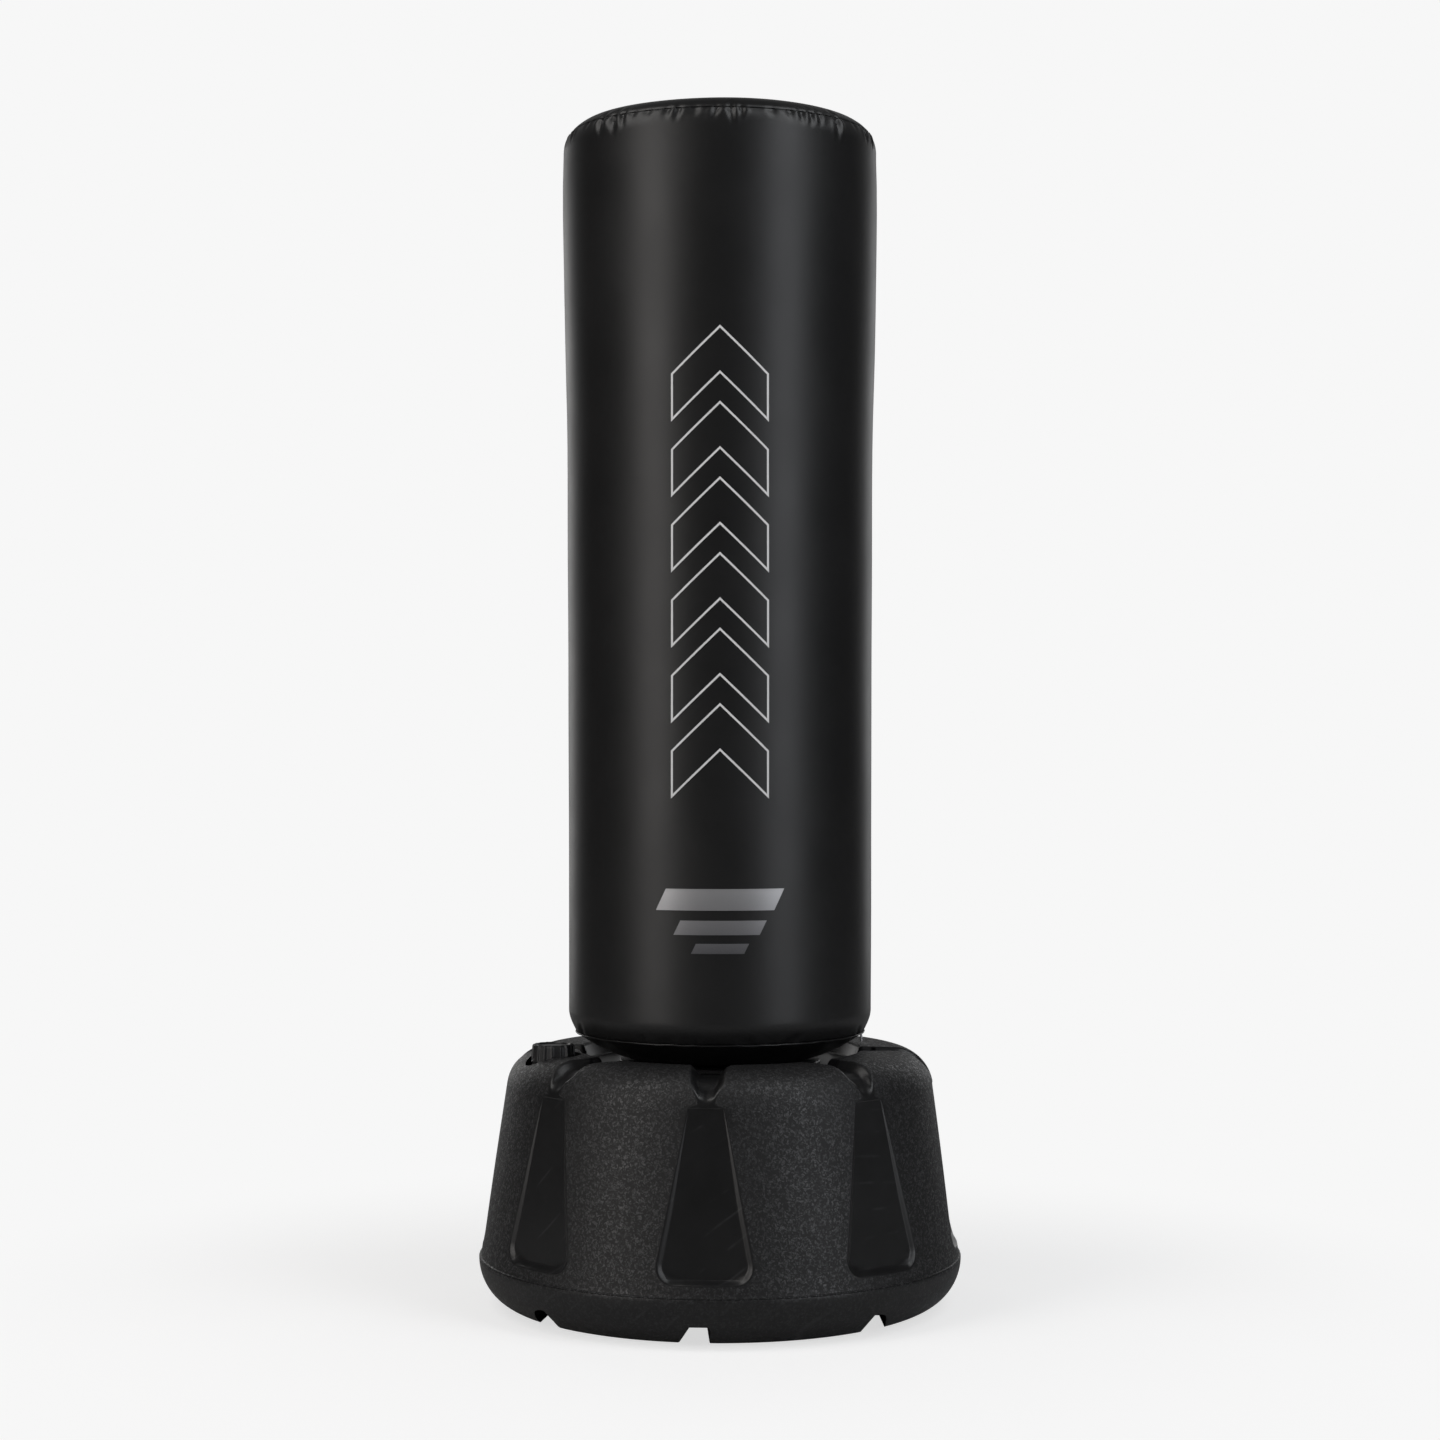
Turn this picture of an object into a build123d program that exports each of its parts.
"""Free-standing punching bag: a foam bag on a plastic core, which stands in a hollow ballast base.

Millimetres, +Z up. The origin is the middle of the base's underside, on the floor. The bag's
printed face looks towards -Y. An azimuth is counted from +X towards +Y.
"""

from build123d import *
from math import cos, radians, sin, sqrt
import os

os.makedirs("parts", exist_ok=True)


def save(piece, name):
    """Labels a finished piece and writes it as one STEP file."""
    piece.label = name
    export_step(piece, f"parts/{name}.step")


def radial_plane(azimuth):
    """The upright plane through the Z axis: local x is the radius, local y is the height."""
    a = radians(azimuth)
    return Plane(origin=(0, 0, 0), x_dir=(cos(a), sin(a), 0), z_dir=(sin(a), -cos(a), 0))


# ---------------------------------------------------------------- driving dimensions

# base: a rotation-moulded tank, wider at its parting line than at the floor and the top
foot_r = 292.0  # flat ring that meets the floor
rim_r = 358.5  # lip of the parting line, the widest place
rim_z = 71.0
lip_h = 2.0
wall_r = 355.6  # outside of the wall just above the lip
draft = 8.65  # degrees, wall off the vertical
shoulder_r = 57.0
shoulder_c = (260.5, 319.0)  # centre of the shoulder's round, radius and height
top_z = 376.0
seat_z = 355.0  # sunken seat that the core's collar stands on
seat_r = 200.0
wall_t = 5.0

# eight trapezoid panels and eight top channels share these directions
facets = 8
facet_azimuth = -93.5
panel_top = (315.6, 328.0)  # radius and height of the panel floor at its upper edge
panel_bottom = (342.0, 89.0)
panel_top_w = 50.4
panel_bottom_w = 146.0
panel_corner = 30.0
channel_depth = 12.0
channel_end_z = 334.0

# eight hand notches under the rim, cut along the mould's draw and square to it. Each has an
# upright wall that flares outwards and a sloping side. Values: distance along the cut where the
# wall's offset is given, that offset, roof width, run of the slope, inner end of the cut
notch_h = 29.0
notch_flare = 0.10
notch_middle = (345.0, 7.4, 29.0, 19.3, 200.0)
notch_corner = (257.0, 251.0, 17.0, 25.0, 100.0)

# well in the middle of the base, and the core that stands in it
well_r = 84.5
well_floor_z = 58.0
core_r = 84.0
core_t = 4.5
core_foot_z = 62.0
core_head_z = 1644.0
collar_r = 150.0
collar_t = 4.7
sleeve_r = 90.0
sleeve_top_z = 395.0
screw_count = 6

# fill opening on the petal between two channels
cap_azimuth = -161.0
cap_path_r = 258.0
cap_r = 32.5
cap_ribs = 16
cap_z = (366.0, 391.5)
plug_r = 24.0
plug_bottom_z = 336.0
neck_r = 28.0
neck_bore_r = 24.4
pocket_r = 41.0
pocket_z = 359.0
neck_flange_r = 31.0
neck_flange_t = 4.0

# bag: outline of the cover as a turned shape
bag_floor_z = 361.0
bag_hole_r = 98.0
seam_low = (214.0, 403.0)  # sewn edge between the bottom panel and the side
side_start = (225.2, 436.0)
side_waist = (226.8, 1045.0)
side_swell = (230.5, 1403.0)
side_top = (234.2, 1642.0)
crown_r = 233.15
crown_c = (183.15, 1707.3)  # centre of the crown's elliptical corner
crown_top_z = 1757.0
seam_high_z = 1732.5
cover_t = 2.0
tape_t = 1.0
foam_inset = 3.5  # foam keeps this far inside the cover's outer face
inner_foam_r = 150.0
bore_r = 85.0
foam_z = (444.3, 1650.0)
gap = 0.3

# zip along the back half of the lower seam
zip_azimuth = (10.0, 170.0)
slider_azimuth = 16.0
slider_arc = 3.2
seam_n = (0.774, -0.633)  # outward normal of the lower seam, radius and height
coil_r = 2.2
coil_off = 4.3
slider_in_r = 2.6
slider_out_r = 4.3
pin_off = 11.2
pin_r = 0.9
eye_r = 2.2
pull_len = 17.0


def off_seam(distance):
    """A point straight out from the lower seam, as radius and height."""
    return (seam_low[0] + seam_n[0] * distance, seam_low[1] + seam_n[1] * distance)


# ---------------------------------------------------------------- base tank

def tank_section(inset):
    """Half section of the tank's outside, moved inwards by the inset."""
    r = shoulder_r - inset
    arc_low = (shoulder_c[0] + r * cos(radians(draft)), shoulder_c[1] + r * sin(radians(draft)))
    arc_middle = (shoulder_c[0] + r * cos(radians(50)), shoulder_c[1] + r * sin(radians(50)))
    step_in = seat_r + inset
    lip = 0.5 * inset
    with BuildSketch(Plane.XZ) as section:
        with BuildLine():
            Line((0, inset), (foot_r, inset))
            EllipticalCenterArc(
                (foot_r, rim_z), rim_r - foot_r - inset, rim_z - inset, start_angle=-90, arc_size=90
            )
            Line((rim_r - inset, rim_z), (rim_r - inset, rim_z + lip_h))
            Line((rim_r - inset, rim_z + lip_h), (wall_r - inset, rim_z + lip_h + lip))
            Line((wall_r - inset, rim_z + lip_h + lip), arc_low)
            ThreePointArc(arc_low, arc_middle, (shoulder_c[0], top_z - inset))
            Line((shoulder_c[0], top_z - inset), (step_in + 10, top_z - inset))
            Line((step_in + 10, top_z - inset), (step_in, seat_z - inset))
            Line((step_in, seat_z - inset), (0, seat_z - inset))
            Line((0, seat_z - inset), (0, inset))
        make_face()
    return section.sketch


def facet_azimuths():
    """Directions that the panels, channels and notches point in."""
    return [facet_azimuth + 360 / facets * i for i in range(facets)]


def panel_blocks(grow):
    """Eight prisms that reach from the panels' floors outwards, grown on every side."""
    drop_r = panel_bottom[0] - panel_top[0]
    drop_z = panel_top[1] - panel_bottom[1]
    length = sqrt(drop_r**2 + drop_z**2)
    with BuildPart() as blocks:
        for azimuth in facet_azimuths():
            a = radians(azimuth)
            outward = Vector(cos(a) * drop_z, sin(a) * drop_z, drop_r).normalized()
            top_middle = Vector(panel_top[0] * cos(a), panel_top[0] * sin(a), panel_top[1])
            floor = Plane(
                origin=top_middle - outward * grow, x_dir=(-sin(a), cos(a), 0), z_dir=outward
            )
            with BuildSketch(floor):
                with BuildLine():
                    Polyline(
                        (-panel_top_w / 2 - grow, grow),
                        (panel_top_w / 2 + grow, grow),
                        (panel_bottom_w / 2 + grow, -length - grow),
                        (-panel_bottom_w / 2 - grow, -length - grow),
                        close=True,
                    )
                corners = make_face().vertices().group_by(Axis.Z)[0]
                fillet(corners, panel_corner)
            extrude(amount=60)
    return blocks.part


def channel_blocks(grow):
    """Eight cutters that follow the shoulder at the channels' depth, grown on every side."""
    r = shoulder_r - channel_depth - grow
    floor_z = shoulder_c[1] + r
    bend = radians(30)
    bend_mid = radians(60)
    end_r = shoulder_c[0] + sqrt(shoulder_r**2 - (channel_end_z - shoulder_c[1]) ** 2)
    inner, outer, roof = seat_r - 12, 345.0, top_z + 24
    with BuildPart() as blocks:
        for azimuth in facet_azimuths():
            a = radians(azimuth)
            face = Plane(
                origin=(inner * cos(a), inner * sin(a), 0),
                x_dir=(-sin(a), cos(a), 0),
                z_dir=(cos(a), sin(a), 0),
            )
            with BuildSketch(face):
                with BuildLine():
                    Polyline(
                        (-8 - grow, channel_end_z - 6 - grow),
                        (8 + grow, channel_end_z - 6 - grow),
                        (13 + grow, floor_z),
                        (24 + grow, top_z + 2 - grow),
                        (24 + grow, roof),
                        (-24 - grow, roof),
                        (-24 - grow, top_z + 2 - grow),
                        (-13 - grow, floor_z),
                        close=True,
                    )
                make_face()
            extrude(amount=outer - inner)
        with BuildSketch(Plane.XZ):
            with BuildLine():
                bend_end = (shoulder_c[0] + r * cos(bend), shoulder_c[1] + r * sin(bend))
                Line((inner, floor_z), (shoulder_c[0], floor_z))
                ThreePointArc(
                    (shoulder_c[0], floor_z),
                    (shoulder_c[0] + r * cos(bend_mid), shoulder_c[1] + r * sin(bend_mid)),
                    bend_end,
                )
                Polyline(
                    bend_end,
                    (end_r + 1, channel_end_z - 1 - grow),
                    (outer, channel_end_z - 1 - grow),
                    (outer, roof),
                    (inner, roof),
                    (inner, floor_z),
                )
            make_face()
        revolve(axis=Axis.Z, mode=Mode.INTERSECT)
    return blocks.part


def notch_blocks(grow):
    """Eight tapered prisms under the rim, grown on every side."""
    cuts = []
    for draw in (facet_azimuth, facet_azimuth + 180):
        cuts += [(draw, notch_middle, 1), (draw + 90, notch_middle, 1)]
        cuts += [(draw, notch_corner, 1), (draw, notch_corner, -1)]
    with BuildPart() as blocks:
        for azimuth, (wall_u, wall_v, roof_w, slope_run, inner_u), hand in cuts:
            a = radians(azimuth)
            for u in (inner_u - grow, rim_r + 20):
                wall = wall_v + (u - wall_u) * notch_flare + grow
                roof = wall_v - roof_w - grow
                face = Plane(
                    origin=(u * cos(a), u * sin(a), 0),
                    x_dir=(-sin(a), cos(a), 0),
                    z_dir=(cos(a), sin(a), 0),
                )
                with BuildSketch(face):
                    with BuildLine():
                        Polyline(
                            (hand * wall, -10),
                            (hand * wall, notch_h + grow),
                            (hand * roof, notch_h + grow),
                            (hand * (roof - slope_run), 0),
                            (hand * (roof - slope_run), -10),
                            close=True,
                        )
                    make_face()
            loft()
    return blocks.part


cap_x = cap_path_r * cos(radians(cap_azimuth))
cap_y = cap_path_r * sin(radians(cap_azimuth))


def cap_cylinder(radius, low, high, mode=Mode.ADD):
    """An upright cylinder on the fill opening's axis, added to the part being built."""
    with Locations((cap_x, cap_y, low)):
        Cylinder(radius, high - low, align=(Align.CENTER, Align.CENTER, Align.MIN), mode=mode)


with BuildPart() as tank_space:
    with BuildSketch(Plane.XZ):
        add(tank_section(wall_t))
    revolve(axis=Axis.Z)
    with Locations((0, 0, well_floor_z - wall_t)):
        Cylinder(
            well_r + wall_t,
            seat_z,
            align=(Align.CENTER, Align.CENTER, Align.MIN),
            mode=Mode.SUBTRACT,
        )
    add(panel_blocks(wall_t), mode=Mode.SUBTRACT)
    add(channel_blocks(wall_t), mode=Mode.SUBTRACT)
    add(notch_blocks(wall_t), mode=Mode.SUBTRACT)
    cap_cylinder(pocket_r + wall_t, pocket_z - wall_t, top_z, Mode.SUBTRACT)

with BuildPart() as base_tank:
    with BuildSketch(Plane.XZ):
        add(tank_section(0))
    revolve(axis=Axis.Z)
    add(panel_blocks(0), mode=Mode.SUBTRACT)
    add(channel_blocks(0), mode=Mode.SUBTRACT)
    add(notch_blocks(0), mode=Mode.SUBTRACT)
    cap_cylinder(pocket_r, pocket_z, top_z + 5, Mode.SUBTRACT)
    add(tank_space.part, mode=Mode.SUBTRACT)
    cap_cylinder(neck_r + 0.1, pocket_z - 2 * wall_t, pocket_z, Mode.SUBTRACT)
    with Locations((0, 0, well_floor_z)):
        Cylinder(
            well_r, seat_z, align=(Align.CENTER, Align.CENTER, Align.MIN), mode=Mode.SUBTRACT
        )
save(base_tank.part, "base_tank")

# ---------------------------------------------------------------- fill neck, gasket and cap

with BuildPart() as fill_neck:
    cap_cylinder(neck_r, 330, pocket_z + neck_flange_t)
    cap_cylinder(neck_flange_r, pocket_z, pocket_z + neck_flange_t)
    cap_cylinder(neck_bore_r, 325, pocket_z + neck_flange_t + 5, Mode.SUBTRACT)
    fillet(fill_neck.edges().filter_by(GeomType.CIRCLE).group_by(Axis.Z)[0], 0.8)
save(fill_neck.part, "fill_neck")

gasket_z = pocket_z + neck_flange_t + gap
with BuildPart() as fill_gasket:
    cap_cylinder(30.5, gasket_z, cap_z[0] - gap)
    cap_cylinder(25.0, gasket_z - 1, cap_z[0], Mode.SUBTRACT)
save(fill_gasket.part, "fill_gasket")

with BuildPart() as fill_cap:
    cap_cylinder(cap_r - 1.8, *cap_z)
    chamfer(fill_cap.faces().sort_by(Axis.Z)[-1].edges(), 1.5)
    rib_h = cap_z[1] - cap_z[0] - 3
    with BuildSketch(Plane.XY.offset(cap_z[0])):
        with Locations((cap_x, cap_y)):
            with PolarLocations(cap_r - 3.4, cap_ribs):
                RectangleRounded(6.8, 5.4, 1.6)
    extrude(amount=rib_h)
    cap_cylinder(plug_r, plug_bottom_z, cap_z[0])
    cap_cylinder(20.0, plug_bottom_z - 1, cap_z[1] - 5, Mode.SUBTRACT)
save(fill_cap.part, "fill_cap")

# ---------------------------------------------------------------- core


def ring_section(points):
    """Closed half section from radius and height pairs, for a turned piece."""
    with BuildSketch(Plane.XZ) as section:
        with BuildLine():
            Polyline(*points, close=True)
        make_face()
    return section.sketch


def screw_plane(i, radius):
    """Plane across one collar screw's axis, at a radius."""
    a = radians(360 / screw_count * i)
    height = (sleeve_top_z + seat_z) / 2 + 8
    return Plane(
        origin=(radius * cos(a), radius * sin(a), height),
        x_dir=(-sin(a), cos(a), 0),
        z_dir=(cos(a), sin(a), 0),
    )


def screw_holes():
    """Radial holes for the collar's screws, cut from the part being built."""
    for i in range(screw_count):
        with BuildSketch(screw_plane(i, core_r - core_t - 6)) as hole:
            Circle(2.6)
        extrude(hole.sketch, amount=30, mode=Mode.SUBTRACT)


with BuildPart() as core_tube:
    with BuildSketch(Plane.XY.offset(core_foot_z)):
        Circle(core_r)
        Circle(core_r - core_t, mode=Mode.SUBTRACT)
    extrude(amount=core_head_z - core_foot_z)
    screw_holes()
save(core_tube.part, "core_tube")

skirt_out = core_r - core_t - 0.1
skirt_in = skirt_out - 4
foot_bottom = well_floor_z + 0.5
with BuildPart() as core_foot_plug:
    with BuildSketch(Plane.XZ):
        add(
            ring_section(
                [
                    (0, foot_bottom),
                    (core_r - 3, foot_bottom),
                    (core_r, foot_bottom + 2),
                    (core_r, core_foot_z - 0.05),
                    (skirt_out, core_foot_z - 0.05),
                    (skirt_out, core_foot_z + 30),
                    (skirt_in, core_foot_z + 30),
                    (skirt_in, core_foot_z + 2),
                    (0, core_foot_z + 2),
                ]
            )
        )
    revolve(axis=Axis.Z)
save(core_foot_plug.part, "core_foot_plug")

head_top = core_head_z + 5.5
with BuildPart() as core_top_cap:
    with BuildSketch(Plane.XZ):
        add(
            ring_section(
                [
                    (0, head_top),
                    (core_r - 4, head_top),
                    (core_r, head_top - 3),
                    (core_r, core_head_z + 0.05),
                    (skirt_out, core_head_z + 0.05),
                    (skirt_out, core_head_z - 40),
                    (skirt_in, core_head_z - 40),
                    (skirt_in, core_head_z - 1),
                    (0, core_head_z - 1),
                ]
            )
        )
    revolve(axis=Axis.Z)
save(core_top_cap.part, "core_top_cap")

collar_bottom = seat_z + gap
collar_top = collar_bottom + collar_t
with BuildPart() as core_collar:
    with BuildSketch(Plane.XZ):
        add(
            ring_section(
                [
                    (core_r + 0.1, collar_bottom),
                    (collar_r, collar_bottom),
                    (collar_r, collar_top - 1.5),
                    (collar_r - 1.5, collar_top),
                    (sleeve_r, collar_top),
                    (sleeve_r, sleeve_top_z),
                    (core_r + 0.1, sleeve_top_z),
                ]
            )
        )
    revolve(axis=Axis.Z)
    screw_holes()
save(core_collar.part, "core_collar")

with BuildPart() as collar_screws:
    for i in range(screw_count):
        with BuildSketch(screw_plane(i, core_r - core_t - 4)):
            Circle(2.5)
        extrude(amount=sleeve_r - core_r + core_t + 4.4)
        with BuildSketch(screw_plane(i, sleeve_r + 0.2)):
            Circle(5.2)
        extrude(amount=2.6, taper=18)
save(collar_screws.part, "collar_screws")

# ---------------------------------------------------------------- bag: covers, tapes and foam


def bag_solid(inset):
    """The whole bag as one turned solid, with its outline moved inwards by the inset."""
    with BuildPart() as solid:
        with BuildSketch(Plane.XZ):
            with BuildLine():
                low = (seam_low[0] - seam_n[0] * inset, seam_low[1] - seam_n[1] * inset)
                start = (side_start[0] - inset, side_start[1])
                crown_side = (crown_r - inset, crown_c[1])
                crown_flat = (crown_c[0], crown_c[1] + 46.2 - inset)
                Line((0, bag_floor_z + inset), (bag_hole_r, bag_floor_z + inset))
                ThreePointArc(
                    (bag_hole_r, bag_floor_z + inset),
                    (170 - 0.36 * inset, 374 + 0.93 * inset),
                    low,
                )
                ThreePointArc(low, (222.3 - 0.97 * inset, 419 + 0.25 * inset), start)
                Spline(
                    start,
                    (side_waist[0] - inset, side_waist[1]),
                    (side_swell[0] - inset, side_swell[1]),
                    (side_top[0] - inset, side_top[1]),
                    crown_side,
                    tangents=((0, 1), (0, 1)),
                )
                EllipticalCenterArc(
                    crown_c,
                    crown_r - crown_c[0] - inset,
                    46.2 - inset,
                    start_angle=0,
                    arc_size=90,
                )
                Line(crown_flat, (0, crown_top_z - inset))
                Line((0, crown_top_z - inset), (0, bag_floor_z + inset))
            make_face()
        revolve(axis=Axis.Z)
    return solid.part


def keep_between(low, high):
    """Cuts the part being built down to the slice between two heights."""
    with BuildSketch(Plane.XY.offset(low)) as slab:
        Circle(300)
    extrude(slab.sketch, amount=high - low, mode=Mode.INTERSECT)


def central_bore(radius, low, high):
    """Cuts a round bore on the bag's axis between two heights."""
    with BuildSketch(Plane.XY.offset(low)) as bore:
        Circle(radius)
    extrude(bore.sketch, amount=high - low, mode=Mode.SUBTRACT)


outer_form = bag_solid(0)
lining_form = bag_solid(cover_t)
tape_form = bag_solid(cover_t + 0.2)
tape_back_form = bag_solid(cover_t + 0.2 + tape_t)
foam_form = bag_solid(foam_inset)

with BuildPart() as side_cover:
    add(outer_form)
    add(lining_form, mode=Mode.SUBTRACT)
    keep_between(seam_low[1], seam_high_z)
save(side_cover.part, "side_cover")

with BuildPart() as top_cover:
    add(outer_form)
    add(lining_form, mode=Mode.SUBTRACT)
    keep_between(seam_high_z, crown_top_z + 10)
save(top_cover.part, "top_cover")

with BuildPart() as bottom_cover:
    add(outer_form)
    add(lining_form, mode=Mode.SUBTRACT)
    keep_between(bag_floor_z - 10, seam_low[1])
    central_bore(bag_hole_r, bag_floor_z - 10, seam_low[1] + 10)
save(bottom_cover.part, "bottom_cover")

with BuildPart() as top_seam_tape:
    add(tape_form)
    add(tape_back_form, mode=Mode.SUBTRACT)
    keep_between(seam_high_z - 9, seam_high_z + 8)
save(top_seam_tape.part, "top_seam_tape")

with BuildPart() as back_seam_tape:
    add(tape_form)
    add(tape_back_form, mode=Mode.SUBTRACT)
    with BuildSketch(Plane.XY.offset(side_start[1] + 15)):
        with Locations((0, 200)):
            Rectangle(24, 200)
    extrude(amount=seam_high_z - 12 - side_start[1] - 15, mode=Mode.INTERSECT)
save(back_seam_tape.part, "back_seam_tape")

with BuildPart() as top_foam_pad:
    add(foam_form)
    keep_between(foam_z[1] + gap, crown_top_z)
save(top_foam_pad.part, "top_foam_pad")

with BuildPart() as outer_foam:
    add(foam_form)
    keep_between(*foam_z)
    central_bore(inner_foam_r + gap, foam_z[0] - 1, foam_z[1] + 1)
save(outer_foam.part, "outer_foam")

with BuildPart() as inner_foam:
    with BuildSketch(Plane.XY.offset(foam_z[0])):
        Circle(inner_foam_r)
        Circle(bore_r, mode=Mode.SUBTRACT)
    extrude(amount=foam_z[1] - foam_z[0])
save(inner_foam.part, "inner_foam")

with BuildPart() as bottom_foam_ring:
    add(foam_form)
    keep_between(bag_floor_z, foam_z[0] - gap)
    central_bore(bag_hole_r, bag_floor_z - 5, sleeve_top_z + 6)
    central_bore(bore_r, sleeve_top_z, foam_z[0] + 5)
save(bottom_foam_ring.part, "bottom_foam_ring")

with BuildPart() as bottom_hole_binding:
    binding = [
        (bag_hole_r - 2.2, bag_floor_z - 0.4),
        (bag_hole_r - 0.1, bag_floor_z - 0.4),
        (bag_hole_r - 0.1, bag_floor_z + 3.4),
        (bag_hole_r - 2.2, bag_floor_z + 3.4),
    ]
    with BuildSketch(Plane.XZ):
        add(ring_section(binding))
    revolve(axis=Axis.Z)
    fillet(bottom_hole_binding.edges().filter_by(GeomType.CIRCLE), 0.6)
save(bottom_hole_binding.part, "bottom_hole_binding")

welt_start = zip_azimuth[1] + 2
welt_arc = 360 - (zip_azimuth[1] - zip_azimuth[0]) - 4
with BuildPart() as bottom_seam_welt:
    with BuildSketch(radial_plane(welt_start)):
        with Locations(off_seam(1.6)):
            Circle(1.5)
    revolve(axis=Axis.Z, revolution_arc=welt_arc)
save(bottom_seam_welt.part, "bottom_seam_welt")

# ---------------------------------------------------------------- zip

zip_arc = zip_azimuth[1] - zip_azimuth[0]


def seam_point(up, down, out):
    """A point by the lower seam: up the side, down the bottom panel, and outwards."""
    side_dir, dish_dir = (0.456, 0.89), (-0.781, -0.625)
    r = seam_low[0] + side_dir[0] * up + dish_dir[0] * down + seam_n[0] * out
    z = seam_low[1] + side_dir[1] * up + dish_dir[1] * down + seam_n[1] * out
    return (r, z)


with BuildPart() as zipper_tape:
    with BuildSketch(radial_plane(zip_azimuth[0])):
        with BuildLine():
            Polyline(
                seam_point(9, 0, 0.9),
                seam_point(0, 0, 0.5),
                seam_point(0, 9, 0.9),
                seam_point(0, 9, 1.9),
                seam_point(0, 0, 1.7),
                seam_point(9, 0, 1.9),
                close=True,
            )
        make_face()
    revolve(axis=Axis.Z, revolution_arc=zip_arc)
save(zipper_tape.part, "zipper_tape")

with BuildPart() as zipper_coil:
    with BuildSketch(radial_plane(zip_azimuth[0] + 1)):
        with Locations(off_seam(coil_off)):
            Circle(coil_r)
    revolve(axis=Axis.Z, revolution_arc=zip_arc - 2)
save(zipper_coil.part, "zipper_coil")

with BuildPart() as zip_stops:
    for azimuth in (zip_azimuth[0] + 0.2, zip_azimuth[1] - 0.9):
        with BuildSketch(radial_plane(azimuth)):
            with Locations(off_seam(coil_off)):
                Circle(coil_r + 0.2)
        revolve(axis=Axis.Z, revolution_arc=0.7)
save(zip_stops.part, "zip_stops")

slider_a = radians(slider_azimuth)
slider_tangent = Vector(-sin(slider_a), cos(slider_a), 0)
pin_rz = off_seam(pin_off)
pin_centre = Vector(pin_rz[0] * cos(slider_a), pin_rz[0] * sin(slider_a), pin_rz[1])


def pin_plane(along):
    """Plane across the pull's pin, at a distance along the pin from its middle."""
    return Plane(
        origin=pin_centre + slider_tangent * along,
        x_dir=(cos(slider_a), sin(slider_a), 0),
        z_dir=slider_tangent.reverse(),
    )


with BuildPart() as zip_slider:
    with BuildSketch(radial_plane(slider_azimuth - slider_arc / 2)):
        with Locations(off_seam(coil_off)):
            Circle(slider_out_r)
            Circle(slider_in_r, mode=Mode.SUBTRACT)
        with BuildLine():
            Polyline(
                seam_point(9, 0, -4),
                seam_point(9, 0, 5.2),
                off_seam(2.3),
                seam_point(0, 9, 5.2),
                seam_point(0, 9, -4),
                close=True,
            )
        make_face(mode=Mode.SUBTRACT)
    revolve(axis=Axis.Z, revolution_arc=slider_arc)
    for side in (-3.6, 2.2):
        with BuildSketch(pin_plane(side + 1.4)):
            with BuildLine():
                Polyline((-4.2, 0.4), (-1.2, 4.1), (1.5, 1.6), (1.5, -1.2), (-1.2, -1.7), close=True)
            make_face()
        extrude(amount=1.4)
    with BuildSketch(pin_plane(3.6)):
        Circle(pin_r)
    extrude(amount=7.2)
save(zip_slider.part, "zip_slider")

with BuildPart() as zip_pull:
    with BuildSketch(pin_plane(1.8)):
        Circle(eye_r)
        with BuildLine():
            Polyline((-0.8, -1), (0.8, -1), (0.8, -pull_len + 1), (-0.8, -pull_len + 1), close=True)
        make_face()
        Circle(pin_r + 0.1, mode=Mode.SUBTRACT)
    extrude(amount=3.6)
    with BuildSketch(pin_plane(3.2)):
        with BuildLine():
            Polyline((-0.8, -7), (0.8, -7), (0.8, -pull_len), (-0.8, -pull_len), close=True)
        make_face()
    extrude(amount=6.4)
save(zip_pull.part, "zip_pull")
